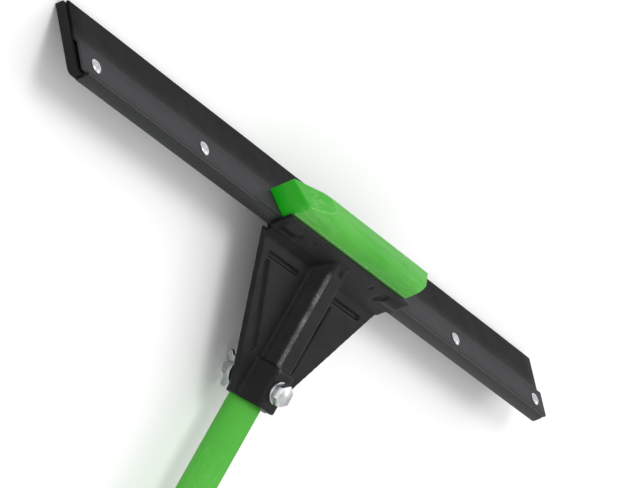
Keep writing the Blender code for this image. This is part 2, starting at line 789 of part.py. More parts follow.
rubber = new_material("rubber", (0.022, 0.022, 0.024), 0.55, 0.0)
foam = new_material("foam_rubber", (0.030, 0.030, 0.031), 0.75, 0.0)
black_plastic = new_material("black_plastic", (0.024, 0.025, 0.026), 0.48, 0.0)
black_steel = new_material("black_steel", (0.020, 0.021, 0.022), 0.40, 0.6)
green_plastic = new_material("green_plastic", (0.115, 0.50, 0.075), 0.38, 0.0)
green_paint = new_material("green_paint", (0.125, 0.50, 0.085), 0.28, 0.1)
zinc = new_material("zinc_steel", (0.70, 0.71, 0.72), 0.35, 1.0)

make_rear_blade()
make_front_blade()
make_spine_bar()
make_rivets()
make_centre_cap()
make_bracket()
make_head_bolts()
make_clamp_bolt()
make_washer("bolt_washer", bolt_washer_radius, bolt_washer_low, bolt_washer_low + bolt_washer_thickness)
make_washer("nut_washer", nut_washer_radius, nut_washer_low, nut_washer_top)
make_wing_nut()
make_handle_tube()
make_end_cap()
bpy.context.view_layer.update()
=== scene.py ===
import json
import math

import bmesh
import bpy
from mathutils import Matrix, Vector, noise


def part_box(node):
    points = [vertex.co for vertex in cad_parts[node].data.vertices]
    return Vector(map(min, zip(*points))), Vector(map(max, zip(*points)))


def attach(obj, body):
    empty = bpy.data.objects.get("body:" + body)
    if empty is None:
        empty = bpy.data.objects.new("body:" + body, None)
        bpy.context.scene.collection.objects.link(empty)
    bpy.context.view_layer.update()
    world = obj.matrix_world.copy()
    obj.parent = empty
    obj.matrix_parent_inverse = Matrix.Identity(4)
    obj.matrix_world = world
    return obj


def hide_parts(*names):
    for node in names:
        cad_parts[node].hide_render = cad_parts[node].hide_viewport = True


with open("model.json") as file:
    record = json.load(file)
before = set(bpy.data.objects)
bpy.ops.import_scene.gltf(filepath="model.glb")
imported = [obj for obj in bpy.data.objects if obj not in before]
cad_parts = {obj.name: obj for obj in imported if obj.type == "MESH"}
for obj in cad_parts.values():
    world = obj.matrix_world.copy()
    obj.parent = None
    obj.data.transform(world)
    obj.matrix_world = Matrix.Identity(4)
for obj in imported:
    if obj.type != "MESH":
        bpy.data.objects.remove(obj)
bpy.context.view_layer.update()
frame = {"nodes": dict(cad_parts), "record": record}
mounts = {mount["name"]: mount for mount in frame["record"]["mounts"]}
joints = {joint["name"]: joint for joint in frame["record"]["behaviour"]["joints"]}
mainBody = "squeegee"

print("frame loaded:", len(frame["nodes"]), "solids")


# ---- places taken from the frame ----

sheets = {
    "rearThickness": 0.0054,
    "frontThickness": 0.0018,
    "gap": 0.0003,
    "height": 0.0465,
    "rearCorner": 0.0036,
    "frontCorner": 0.0012,
    "bandStart": 0.015,
    "bandEnd": 0.037,
    "bendStart": 0.0245,
    "bendEnd": 0.0285,
    "bendOffset": 0.002,
    "wave": 0.00022,
    "waveAcross": 14.0,
    "waveDown": 20.0,
    "edgeRound": 0.0004,
}


def frameAlong(origin, forward):
    side = Vector((1, 0, 0))
    ahead = Vector(forward).normalized()
    turn = Matrix((side, ahead, side.cross(ahead))).transposed()
    return Matrix.Translation(origin) @ turn.to_4x4()


# the blade's frame: Y points at its free edge, Z out of its front face, zero between the two sheets
edgeMount = mounts["blade_edge"]
bladeFrame = frameAlong(Vector(edgeMount["pos_m"]), edgeMount["axis"])
bladeFrame = bladeFrame @ Matrix.Translation((0, 0, (sheets["rearThickness"] + sheets["gap"]) / 2))

# the handle's frame: Y runs forward along the tube, Z up out of the bracket,
# zero where the clamp bolt crosses
handleAxis = -Vector(mounts["handle_end"]["axis"])
handleFrame = frameAlong(Vector(joints["nut_spin"]["pos_m"]), handleAxis)


# ---- camera, floor and light ----

view = {
    "place": (-1.9243, 0.3790, 1.3905),
    "turn": (-30.443, -47.836, 45.595),
    "lens": 223.35,
    "sensor": 36.0,
}
studio = {
    "floorSize": 14.0,
    "floorColour": (0.90, 0.90, 0.90),
    "skyColour": (1.0, 1.0, 1.0),
    "skyStrength": 0.86,
    "lights": [
        ("keyLight", (-1.3, 1.5, 2.3), 1.1, 26.0),
        ("fillLight", (-1.2, -1.6, 1.6), 1.6, 5.0),
        ("rimLight", (1.6, 1.4, 1.5), 1.2, 8.0),
    ],
    "lightTarget": (0.0, 0.6, 0.0),
}


def addCamera():
    data = bpy.data.cameras.new("mainCamera")
    data.lens = view["lens"]
    data.sensor_width = view["sensor"]
    data.clip_start = 0.05
    data.clip_end = 60.0
    camera = bpy.data.objects.new("mainCamera", data)
    camera.location = view["place"]
    camera.rotation_euler = [math.radians(angle) for angle in view["turn"]]
    bpy.context.scene.collection.objects.link(camera)
    bpy.context.scene.camera = camera


def addLights():
    for name, place, size, power in studio["lights"]:
        data = bpy.data.lights.new(name, "AREA")
        data.shape = "DISK"
        data.size = size
        data.energy = power
        light = bpy.data.objects.new(name, data)
        light.location = place
        aim = Vector(studio["lightTarget"]) - Vector(place)
        light.rotation_euler = aim.to_track_quat("-Z", "Y").to_euler()
        bpy.context.scene.collection.objects.link(light)
    world = bpy.data.worlds.new("studioSky")
    world.use_nodes = True
    sky = world.node_tree.nodes["Background"]
    sky.inputs["Color"].default_value = (*studio["skyColour"], 1)
    sky.inputs["Strength"].default_value = studio["skyStrength"]
    bpy.context.scene.world = world
    bpy.context.scene.view_settings.view_transform = "Standard"


def addFloor():
    bm = bmesh.new()
    bmesh.ops.create_grid(bm, x_segments=1, y_segments=1, size=studio["floorSize"] / 2)
    mesh = bpy.data.meshes.new("studioFloor")
    bm.to_mesh(mesh)
    bm.free()
    floor = bpy.data.objects.new("studioFloor", mesh)
    bpy.context.scene.collection.objects.link(floor)
    material = bpy.data.materials.new("floorPaint")
    material.use_nodes = True
    shader = material.node_tree.nodes["Principled BSDF"]
    shader.inputs["Base Color"].default_value = (*studio["floorColour"], 1)
    shader.inputs["Roughness"].default_value = 0.7
    shader.inputs["Specular IOR Level"].default_value = 0.2
    mesh.materials.append(material)


addCamera()
addLights()
addFloor()
print("camera, lights and floor done")


# ---- shared shader groups ----

def addNode(tree, kind, inputs=None, **settings):
    node = tree.nodes.new(kind)
    for name, value in settings.items():
        setattr(node, name, value)
    for name, value in (inputs or {}).items():
        if isinstance(value, bpy.types.NodeSocket):
            tree.links.new(value, node.inputs[name])
        else:
            node.inputs[name].default_value = value
    return node


def newGroup(name, inputs, outputs):
    group = bpy.data.node_groups.new(name, "ShaderNodeTree")
    for label, kind, value in inputs:
        socket = group.interface.new_socket(name=label, in_out="INPUT", socket_type=kind)
        if value is not None:
            socket.default_value = value
    for label, kind in outputs:
        group.interface.new_socket(name=label, in_out="OUTPUT", socket_type=kind)
    entry = group.nodes.new("NodeGroupInput")
    exit = group.nodes.new("NodeGroupOutput")
    return group, entry, exit


def math2(tree, operation, first, second, clamp=False):
    inputs = {0: first, 1: second}
    return addNode(tree, "ShaderNodeMath", inputs, operation=operation, use_clamp=clamp).outputs[0]


def spread(tree, value, low, high, toLow=0.0, toHigh=1.0):
    inputs = {"Value": value, "From Min": low, "From Max": high, "To Min": toLow, "To Max": toHigh}
    return addNode(tree, "ShaderNodeMapRange", inputs, clamp=True).outputs["Result"]


def noiseAt(tree, vector, scale, detail=4.0, rough=0.55):
    inputs = {"Vector": vector, "Scale": scale, "Detail": detail, "Roughness": rough}
    return addNode(tree, "ShaderNodeTexNoise", inputs).outputs["Fac"]


def makeGrainGroup():
    # fine pebble grain of a moulded or rubber surface
    inputs = [("Vector", "NodeSocketVector", None), ("Scale", "NodeSocketFloat", 900.0),
              ("Coarse", "NodeSocketFloat", 120.0)]
    group, entry, exit = newGroup("surfaceGrain", inputs,
                                  [("Height", "NodeSocketFloat"), ("Speck", "NodeSocketFloat")])
    fine = noiseAt(group, entry.outputs["Vector"], entry.outputs["Scale"], 3.0, 0.6)
    coarse = noiseAt(group, entry.outputs["Vector"], entry.outputs["Coarse"], 3.0, 0.5)
    height = math2(group, "ADD", math2(group, "MULTIPLY", fine, 0.6), math2(group, "MULTIPLY", coarse, 0.4))
    cells = addNode(group, "ShaderNodeTexVoronoi",
                    {"Vector": entry.outputs["Vector"], "Scale": entry.outputs["Scale"]}).outputs["Distance"]
    speck = spread(group, cells, 0.10, 0.22, 1.0, 0.0)
    group.links.new(height, exit.inputs["Height"])
    group.links.new(speck, exit.inputs["Speck"])
    return group


def makeDustGroup():
    # pale dust in soft patches, more of it where the surface faces up
    inputs = [("Vector", "NodeSocketVector", None), ("Scale", "NodeSocketFloat", 18.0),
              ("Amount", "NodeSocketFloat", 0.5)]
    group, entry, exit = newGroup("settledDust", inputs, [("Mask", "NodeSocketFloat")])
    patches = noiseAt(group, entry.outputs["Vector"], entry.outputs["Scale"], 6.0, 0.62)
    specks = noiseAt(group, entry.outputs["Vector"], 1400.0, 2.0, 0.6)
    normal = addNode(group, "ShaderNodeNewGeometry").outputs["Normal"]
    up = addNode(group, "ShaderNodeSeparateXYZ", {"Vector": normal}).outputs["Z"]
    facing = spread(group, up, -0.2, 0.9, 0.15, 1.0)
    soft = spread(group, patches, 0.42, 0.72)
    rough = spread(group, specks, 0.40, 0.62)
    mask = math2(group, "MULTIPLY", math2(group, "MULTIPLY", soft, rough), facing)
    mask = math2(group, "MULTIPLY", mask, entry.outputs["Amount"], True)
    group.links.new(mask, exit.inputs["Mask"])
    return group


def makeScratchGroup():
    # long thin scratches in two directions, broken up by patches
    inputs = [("Vector", "NodeSocketVector", None), ("Stretch", "NodeSocketVector", (6.0, 260.0, 260.0)),
              ("Amount", "NodeSocketFloat", 0.5)]
    group, entry, exit = newGroup("fineScratches", inputs, [("Mask", "NodeSocketFloat")])
    marks = []
    for turn, width in (((0.0, 0.0, 0.12), 0.035), ((0.1, 0.0, -0.55), 0.022)):
        placed = addNode(group, "ShaderNodeMapping", {"Vector": entry.outputs["Vector"], "Rotation": turn})
        long = addNode(group, "ShaderNodeVectorMath", {0: placed.outputs[0], 1: entry.outputs["Stretch"]},
                       operation="MULTIPLY").outputs[0]
        lines = noiseAt(group, long, 1.0, 2.0, 0.5)
        away = math2(group, "ABSOLUTE", math2(group, "SUBTRACT", lines, 0.5), 0.0)
        marks.append(spread(group, away, 0.0, width, 1.0, 0.0))
    both = math2(group, "MAXIMUM", marks[0], marks[1])
    patches = spread(group, noiseAt(group, entry.outputs["Vector"], 25.0, 3.0), 0.52, 0.66)
    mask = math2(group, "MULTIPLY", math2(group, "MULTIPLY", both, patches), entry.outputs["Amount"], True)
    group.links.new(mask, exit.inputs["Mask"])
    return group


def makeWearGroup():
    # rubbed corners: where the surface turns outwards, broken up by noise
    inputs = [("Vector", "NodeSocketVector", None), ("Scale", "NodeSocketFloat", 160.0),
              ("Low", "NodeSocketFloat", 0.515), ("High", "NodeSocketFloat", 0.56)]
    group, entry, exit = newGroup("rubbedEdges", inputs, [("Mask", "NodeSocketFloat")])
    point = addNode(group, "ShaderNodeNewGeometry").outputs["Pointiness"]
    edge = spread(group, point, entry.outputs["Low"], entry.outputs["High"])
    patches = noiseAt(group, entry.outputs["Vector"], entry.outputs["Scale"], 5.0, 0.65)
    broken = spread(group, patches, 0.40, 0.60)
    group.links.new(math2(group, "MULTIPLY", edge, broken, True), exit.inputs["Mask"])
    return group


def makeHollowShadeGroup():
    # painted shade: inner corners and grooves, where the surface turns inwards, are darkened
    inputs = [("Low", "NodeSocketFloat", 0.43), ("High", "NodeSocketFloat", 0.49)]
    group, entry, exit = newGroup("darkHollows", inputs, [("Mask", "NodeSocketFloat")])
    point = addNode(group, "ShaderNodeNewGeometry").outputs["Pointiness"]
    inward = spread(group, point, entry.outputs["Low"], entry.outputs["High"], 1.0, 0.0)
    group.links.new(inward, exit.inputs["Mask"])
    return group


groups = {
    "grain": makeGrainGroup(),
    "hollow": makeHollowShadeGroup(),
    "dust": makeDustGroup(),
    "scratch": makeScratchGroup(),
    "wear": makeWearGroup(),
}


def useGroup(tree, name, inputs):
    node = tree.nodes.new("ShaderNodeGroup")
    node.node_tree = groups[name]
    for label, value in inputs.items():
        if isinstance(value, bpy.types.NodeSocket):
            tree.links.new(value, node.inputs[label])
        else:
            node.inputs[label].default_value = value
    return node.outputs


def mixColour(tree, factor, first, second):
    node = addNode(tree, "ShaderNodeMix", data_type="RGBA", blend_type="MIX")
    for socket, value in ((node.inputs[0], factor), (node.inputs[6], first), (node.inputs[7], second)):
        if isinstance(value, bpy.types.NodeSocket):
            tree.links.new(value, socket)
        else:
            socket.default_value = (*value, 1) if isinstance(value, tuple) else value
    return node.outputs[2]


def startMaterial(name, specular=0.5, coat=0.0, coatRoughness=0.2):
    material = bpy.data.materials.new(name)
    material.use_nodes = True
    tree = material.node_tree
    shader = tree.nodes["Principled BSDF"]
    shader.inputs["Specular IOR Level"].default_value = specular
    shader.inputs["Coat Weight"].default_value = coat
    shader.inputs["Coat Roughness"].default_value = coatRoughness
    place = addNode(tree, "ShaderNodeTexCoord").outputs["Object"]
    return material, tree, shader, place


def addBump(tree, shader, height, strength, distance):
    bump = addNode(tree, "ShaderNodeBump", {"Height": height, "Strength": strength, "Distance": distance})
    tree.links.new(bump.outputs["Normal"], shader.inputs["Normal"])


# ---- the finishes ----

def makeRubber(name, look):
    material, tree, shader, place = startMaterial(name, look["specular"])
    grain = useGroup(tree, "grain", {"Vector": place, "Scale": look["grain"], "Coarse": 60.0})
    broad = spread(tree, noiseAt(tree, place, 9.0, 4.0), 0.35, 0.65)
    dust = useGroup(tree, "dust", {"Vector": place, "Scale": 14.0, "Amount": look["dust"]})
    stretch = (5.0, 320.0, 320.0)
    scratch = useGroup(tree, "scratch", {"Vector": place, "Stretch": stretch, "Amount": look["scratch"]})
    colour = mixColour(tree, broad, look["dark"], look["light"])
    # painted light: the sheet's lower band, towards the lip, is painted lighter
    litBand = addNode(tree, "ShaderNodeAttribute", attribute_name="pressedBand").outputs["Fac"]
    colour = mixColour(tree, litBand, colour, look["bandColour"])
    colour = mixColour(tree, dust["Mask"], colour, look["dustColour"])
    colour = mixColour(tree, scratch["Mask"], colour, look["scratchColour"])
    tree.links.new(colour, shader.inputs["Base Color"])
    rough = spread(tree, grain["Height"], 0.3, 0.7, look["rough"] - 0.06, look["rough"] + 0.08)
    tree.links.new(rough, shader.inputs["Roughness"])
    addBump(tree, shader, grain["Height"], 0.25, 0.00012)
    return material


def makePlastic(name, look):
    material, tree, shader, place = startMaterial(name, look["specular"])
    grain = useGroup(tree, "grain", {"Vector": place, "Scale": look["grain"], "Coarse": look["coarse"]})
    broad = spread(tree, noiseAt(tree, place, look["broad"], 4.0), 0.32, 0.68)
    dust = useGroup(tree, "dust", {"Vector": place, "Scale": 22.0, "Amount": look["dust"]})
    wear = useGroup(tree, "wear", {"Vector": place, "Scale": 240.0, "Low": 0.52, "High": 0.60})
    scratchInputs = {"Vector": place, "Stretch": look["stretch"], "Amount": look["scratch"]}
    scratch = useGroup(tree, "scratch", scratchInputs)
    long = addNode(tree, "ShaderNodeVectorMath", {0: place, 1: look["flow"]}, operation="MULTIPLY").outputs[0]
    streak = spread(tree, noiseAt(tree, long, 1.0, 5.0, 0.62), 0.46, 0.66)
    hollow = useGroup(tree, "hollow", {"Low": 0.43, "High": 0.49})
    colour = mixColour(tree, broad, look["dark"], look["light"])
    colour = mixColour(tree, math2(tree, "MULTIPLY", streak, look["streak"]), colour, look["streakColour"])
    colour = mixColour(tree, dust["Mask"], colour, look["dustColour"])
    # painted shade: the cap's left end facet is darkened from a value painted on its vertices
    endShade = addNode(tree, "ShaderNodeAttribute", attribute_name="deepTone").outputs["Fac"]
    colour = mixColour(tree, endShade, colour, look["deepColour"])
    # painted shade: a darker colour mixed into inner corners and grooves
    colour = mixColour(tree, math2(tree, "MULTIPLY", hollow["Mask"], 0.75), colour, look["hollowColour"])
    # painted highlight: a pale speckled line along edges marked on the piece
    highlightLine = addNode(tree, "ShaderNodeAttribute", attribute_name="rubbedLine").outputs["Fac"]
    speckled = spread(tree, noiseAt(tree, place, look["rubGrain"], 4.0, 0.7), 0.40, 0.58, 0.25, 1.0)
    colour = mixColour(tree, math2(tree, "MULTIPLY", highlightLine, speckled, True), colour, look["rubColour"])
    colour = mixColour(tree, math2(tree, "MULTIPLY", wear["Mask"], look["wear"]), colour, look["wearColour"])
    colour = mixColour(tree, scratch["Mask"], colour, look["wearColour"])
    tree.links.new(colour, shader.inputs["Base Color"])
    low = math2(tree, "MULTIPLY", grain["Speck"], -0.10)
    rough = math2(tree, "ADD", spread(tree, broad, 0.0, 1.0, look["rough"] - 0.05, look["rough"] + 0.05), low)
    tree.links.new(rough, shader.inputs["Roughness"])
    addBump(tree, shader, grain["Height"], look["bump"], 0.00018)
    return material


def makePaint(name, look):
    # gloss paint on a steel tube, with a faint lengthwise drawing mark under it
    material, tree, shader, place = startMaterial(name, 0.07, look["coat"], 0.25)
    grain = useGroup(tree, "grain", {"Vector": place, "Scale": 500.0, "Coarse": 70.0})
    broad = spread(tree, noiseAt(tree, place, 7.0, 5.0), 0.35, 0.65)
    drawnInputs = {0: place, 1: look["drawn"]}
    long = addNode(tree, "ShaderNodeVectorMath", drawnInputs, operation="MULTIPLY").outputs[0]
    drawn = noiseAt(tree, long, 1.0, 3.0, 0.6)
    scratchInputs = {"Vector": place, "Stretch": look["stretch"], "Amount": look["scratch"]}
    scratch = useGroup(tree, "scratch", scratchInputs)
    chips = spread(tree, noiseAt(tree, place, 75.0, 6.0, 0.7), 0.74, 0.76)
    colour = mixColour(tree, broad, look["dark"], look["light"])
    colour = mixColour(tree, math2(tree, "MULTIPLY", drawn, 0.18), colour, look["pale"])
    colour = mixColour(tree, scratch["Mask"], colour, look["pale"])
    colour = mixColour(tree, math2(tree, "MULTIPLY", chips, look["chips"]), colour, look["bare"])
    tree.links.new(colour, shader.inputs["Base Color"])
    rough = spread(tree, drawn, 0.3, 0.7, look["rough"] - 0.05, look["rough"] + 0.07)
    tree.links.new(rough, shader.inputs["Roughness"])
    halfGrain = math2(tree, "MULTIPLY", grain["Height"], 0.5)
    halfDrawn = math2(tree, "MULTIPLY", drawn, 0.5)
    height = math2(tree, "ADD", halfGrain, halfDrawn)
    addBump(tree, shader, height, 0.18, 0.00015)
    return material


def makeMetal(name, look):
    material, tree, shader, place = startMaterial(name, look["specular"])
    broad = spread(tree, noiseAt(tree, place, look["patch"], 5.0, 0.6), 0.35, 0.65)
    fine = noiseAt(tree, place, 1500.0, 3.0, 0.6)
    stain = spread(tree, noiseAt(tree, place, look["spot"], 6.0, 0.7), 0.58, 0.72)
    wear = useGroup(tree, "wear", {"Vector": place, "Scale": 900.0, "Low": 0.52, "High": 0.62})
    colour = mixColour(tree, broad, look["dark"], look["light"])
    colour = mixColour(tree, math2(tree, "MULTIPLY", stain, look["stain"]), colour, look["stainColour"])
    colour = mixColour(tree, wear["Mask"], colour, look["bright"])
    tree.links.new(colour, shader.inputs["Base Color"])
    metal = spread(tree, stain, 0.0, 1.0, look["metal"], look["metal"] * 0.75)
    tree.links.new(metal, shader.inputs["Metallic"])
    rough = spread(tree, fine, 0.35, 0.65, look["rough"] - 0.08, look["rough"] + 0.10)
    tree.links.new(rough, shader.inputs["Roughness"])
    addBump(tree, shader, fine, look["bump"], 0.00005)
    return material


finishes = {
    "frontRubber": makeRubber("frontRubber", {
        "dark": (0.0034, 0.0035, 0.0040), "light": (0.0060, 0.0062, 0.0069), "rough": 0.55, "specular": 0.06,
        "grain": 1300.0, "dust": 0.10, "dustColour": (0.075, 0.075, 0.077),
        # the band colour is painted light on the front sheet's lower band
        "scratch": 0.14, "scratchColour": (0.040, 0.041, 0.043), "bandColour": (0.042, 0.042, 0.045)}),
    "rearRubber": makeRubber("rearRubber", {
        "dark": (0.0105, 0.0105, 0.011), "light": (0.017, 0.017, 0.0175), "rough": 0.78, "specular": 0.10,
        "grain": 800.0, "dust": 0.12, "dustColour": (0.07, 0.07, 0.07),
        "scratch": 0.06, "scratchColour": (0.035, 0.035, 0.035), "bandColour": (0.012, 0.012, 0.012)}),
    "blackPlastic": makePlastic("blackPlastic", {
        "dark": (0.0048, 0.0050, 0.0055), "light": (0.0088, 0.0091, 0.0098), "rough": 0.42, "specular": 0.11,
        "grain": 1100.0, "coarse": 160.0, "broad": 20.0, "bump": 0.45,
        "dust": 0.14, "dustColour": (0.085, 0.085, 0.085),
        "stretch": (180.0, 5.0, 180.0), "scratch": 0.16, "wear": 0.35, "wearColour": (0.055, 0.055, 0.058),
        "flow": (60.0, 60.0, 60.0), "streak": 0.25, "streakColour": (0.020, 0.020, 0.023),
        # painted shade colours for the end facet and hollows, painted highlight colour for edge lines
        "deepColour": (0.006, 0.006, 0.007), "hollowColour": (0.0025, 0.0025, 0.003),
        "rubColour": (0.20, 0.20, 0.205), "rubGrain": 1100.0}),
    "blackSteel": makeMetal("blackSteel", {
        "dark": (0.0085, 0.0088, 0.0095), "light": (0.011, 0.0115, 0.0125), "bright": (0.028, 0.028, 0.030),
        "metal": 0.0,
        "stain": 0.08, "stainColour": (0.020, 0.019, 0.018), "rough": 0.40,
        "patch": 12.0, "spot": 40.0, "bump": 0.05,
        "specular": 0.18}),
    "greenPlastic": makePlastic("greenPlastic", {
        "dark": (0.048, 0.330, 0.026), "light": (0.075, 0.395, 0.040), "rough": 0.42, "specular": 0.14,
        "grain": 900.0, "coarse": 110.0, "broad": 16.0, "bump": 0.22,
        "dust": 0.12, "dustColour": (0.24, 0.55, 0.19),
        "stretch": (7.0, 240.0, 240.0), "scratch": 0.34, "wear": 0.40, "wearColour": (0.22, 0.58, 0.16),
        "flow": (26.0, 190.0, 190.0), "streak": 0.50, "streakColour": (0.120, 0.420, 0.085),
        # painted shade colours for the end facet and hollows, painted highlight colour for edge lines
        "deepColour": (0.005, 0.320, 0.006), "hollowColour": (0.020, 0.20, 0.014),
        "rubColour": (0.38, 0.72, 0.32), "rubGrain": 500.0}),
    "greenPaint": makePaint("greenPaint", {
        "dark": (0.058, 0.350, 0.034), "light": (0.085, 0.410, 0.050), "pale": (0.17, 0.50, 0.12),
        "bare": (0.30, 0.31, 0.31), "coat": 0.0, "rough": 0.56, "chips": 0.6, "scratch": 0.30,
        "drawn": (420.0, 3.0, 420.0), "stretch": (240.0, 5.0, 240.0)}),
    "zincSteel": makeMetal("zincSteel", {
        "dark": (0.46, 0.47, 0.49), "light": (0.70, 0.71, 0.72), "bright": (0.88, 0.88, 0.88), "metal": 1.0,
        "stain": 0.40, "stainColour": (0.30, 0.29, 0.28), "rough": 0.34,
        "patch": 180.0, "spot": 420.0, "bump": 0.25,
        "specular": 0.5}),
}
print("finishes done:", len(finishes))


# ---- modelling helpers ----

def addPiece(name, bm, finish, place=None, body=mainBody, replaces=(), smoothAngle=35.0):
    if place is not None:
        bm.transform(place)
    mesh = bpy.data.meshes.new(name)
    bm.to_mesh(mesh)
    bm.free()
    mesh.materials.append(finishes[finish])
    mesh.shade_smooth()
    mesh.set_sharp_from_angle(angle=math.radians(smoothAngle))
    piece = bpy.data.objects.new(name, mesh)
    bpy.context.scene.collection.objects.link(piece)
    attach(piece, body)
    if replaces:
        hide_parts(*replaces)
    return piece


def sharpEdges(bm, degrees):
    limit = math.radians(degrees)
    return [edge for edge in bm.edges if len(edge.link_faces) == 2 and edge.calc_face_angle(0) > limit]


def roundEdges(bm, width, segments=2, degrees=40.0, edges=None):
    chosen = edges if edges is not None else sharpEdges(bm, degrees)
    bmesh.ops.bevel(bm, geom=chosen, offset=width, offset_type="OFFSET", segments=segments, profile=0.5,
                    affect="EDGES", clamp_overlap=True, material=-1)


def spun(outline, steps):
    # a full turn round Z of (radius, height) points
    bm = bmesh.new()
    verts = [bm.verts.new((radius, 0, height)) for radius, height in outline]
    edges = [bm.edges.new(pair) for pair in zip(verts, verts[1:])]
    bmesh.ops.spin(bm, geom=verts + edges, cent=(0, 0, 0), axis=(0, 0, 1), angle=math.tau,
                   steps=steps, use_merge=True)
    bmesh.ops.remove_doubles(bm, verts=bm.verts, dist=0.000002)
    bmesh.ops.recalc_face_normals(bm, faces=bm.faces)
    return bm


def mergedCopy(nodeName, place=None):
    # a joined-up copy of a solid's mesh, brought into a frame
    bm = bmesh.new()
    bm.from_mesh(frame["nodes"][nodeName].data)
    bmesh.ops.remove_doubles(bm, verts=bm.verts, dist=0.000002)
    bmesh.ops.dissolve_limit(bm, angle_limit=0.002, verts=bm.verts, edges=bm.edges)
    if place is not None:
        bm.transform(place.inverted())
    return bm


def paintVerts(piece, name, worth):
    # a value from 0 to 1 on each vertex, read by the finish
    layer = piece.data.attributes.new(name, "FLOAT", "POINT")
    for number, vert in enumerate(piece.data.vertices):
        layer.data[number].value = min(1.0, max(0.0, worth(vert.co, vert.normal)))


def fade(value, low, high):
    share = min(1.0, max(0.0, (value - low) / (high - low)))
    return share * share * (3 - 2 * share)


def camel(nodeName):
    first, *others = nodeName.split("_")
    return first + "".join(word.capitalize() for word in others)


def bodyOf(nodeName):
    for body, nodeNames in frame["record"]["behaviour"]["bodies"].items():
        if nodeName in nodeNames:
            return body
    return mainBody


def localBox(nodeName, place):
    # the low and high corners of a solid in a frame
    back = place.inverted() @ frame["nodes"][nodeName].matrix_world
    points = [back @ vert.co for vert in frame["nodes"][nodeName].data.vertices]
    low = Vector([min(point[axis] for point in points) for axis in range(3)])
    high = Vector([max(point[axis] for point in points) for axis in range(3)])
    return low, high


def moulded(nodeName, name, finish, look, place, body=mainBody):
    # a soft-edged moulding with the solid's shape
    bm = mergedCopy(nodeName, place)
    bmesh.ops.triangulate(bm, faces=bm.faces)
    mesh = bpy.data.meshes.new(name + "Rough")
    bm.to_mesh(mesh)
    bm.free()
    rough = bpy.data.objects.new(name + "Rough", mesh)
    bpy.context.scene.collection.objects.link(rough)
    remesh = rough.modifiers.new("Skin", "REMESH")
    remesh.mode = "VOXEL"
    remesh.voxel_size = look["voxel"]
    relax = rough.modifiers.new("Relax", "SMOOTH")
    relax.factor = 0.5
    relax.iterations = look["relax"]
    thin = rough.modifiers.new("Thin", "DECIMATE")
    thin.ratio = look["keep"]
    graph = bpy.context.evaluated_depsgraph_get()
    final = bpy.data.meshes.new_from_object(rough.evaluated_get(graph))
    bpy.data.objects.remove(rough, do_unlink=True)
    bm = bmesh.new()
    bm.from_mesh(final)
    return addPiece(name, bm, finish, place, body, (nodeName,), 75.0)


# ---- the blades ----

sheetRows = {
    "above": [0.001, 0.003, 0.008, 0.014, 0.018, 0.020, 0.022],
    "below": [0.030, 0.032, 0.034, 0.040],
    "inBend": 8,
    "across": 24,
}


def bendAt(below):
    return sheets["bendOffset"] * fade(below, sheets["bendStart"], sheets["bendEnd"])


def buildSheet(nodeName, name, finish, inner, thickness, bent):
    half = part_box(nodeName)[1].x
    height = sheets["height"]
    bm = bmesh.new()
    bmesh.ops.create_grid(bm, x_segments=1, y_segments=1, size=1.0)
    bmesh.ops.scale(bm, vec=(half, height / 2, 1), verts=bm.verts)
    bmesh.ops.translate(bm, vec=(0, -height / 2, 0), verts=bm.verts)
    lower = [vert for vert in bm.verts if vert.co.y < -height / 2]
    corner = sheets["frontCorner"] if bent else sheets["rearCorner"]
    bmesh.ops.bevel(bm, geom=lower, offset=corner, segments=6, profile=0.5,
                    affect="VERTICES", material=-1)
    across = sheetRows["across"]
    places = [half * (step / across - 1) for step in range(1, 2 * across)]
    cuts = [(Vector((x, 0, 0)), Vector((1, 0, 0))) for x in places]
    bend = sheets["bendEnd"] - sheets["bendStart"]
    inBend = sheetRows["inBend"]
    rows = list(sheetRows["above"])
    rows += [sheets["bendStart"] + bend * step / inBend for step in range(inBend + 1)]
    rows += sheetRows["below"]
    cuts += [(Vector((0, -below, 0)), Vector((0, 1, 0))) for below in rows]
    for point, normal in cuts:
        geometry = list(bm.verts) + list(bm.edges) + list(bm.faces)
        bmesh.ops.bisect_plane(bm, geom=geometry, plane_co=point, plane_no=normal, dist=0.0000001)
    for vert in bm.verts:
        free = max(0.0, 1.0 + vert.co.y / sheets["bendStart"])
        spot = Vector((vert.co.x * sheets["waveAcross"], vert.co.y * sheets["waveDown"], inner * 900.0))
        ripple = noise.noise(spot)
        vert.co.z = (bendAt(-vert.co.y) if bent else 0.0) + sheets["wave"] * free * ripple
    bmesh.ops.solidify(bm, geom=list(bm.faces), thickness=-thickness)
    bmesh.ops.recalc_face_normals(bm, faces=bm.faces)
    low = min(vert.co.z for vert in bm.verts if abs(vert.co.y) < 0.02)
    bmesh.ops.translate(bm, vec=(0, 0, inner - low if inner > 0 else 0), verts=bm.verts)
    if inner < 0:
        far = [vert.co.z for vert in bm.verts if vert.co.y < -0.03]
        top = sum(far) / len(far)
        bmesh.ops.translate(bm, vec=(0, 0, inner - thickness / 2 - top), verts=bm.verts)
    roundEdges(bm, min(sheets["edgeRound"], thickness * 0.18), 2, 55.0)
    piece = addPiece(name, bm, finish, bladeFrame, mainBody, (nodeName,), 40.0)
    toSheet = bladeFrame.inverted()

    # painted light: lighter from bandStart to bandEnd below the free edge
    def litBand(spot, normal):
        return fade(-(toSheet @ spot).y, sheets["bandStart"], sheets["bandEnd"])

    paintVerts(piece, "pressedBand", litBand)
    return piece


halfGap = sheets["gap"] / 2
buildSheet("front_blade", "frontBlade", "frontRubber", halfGap, sheets["frontThickness"], True)
buildSheet("rear_blade", "rearBlade", "rearRubber", -halfGap, sheets["rearThickness"], False)
print("blades done")


# ---- the spine ----

spine = {"edgeRound": 0.0003, "longEdge": 0.3}


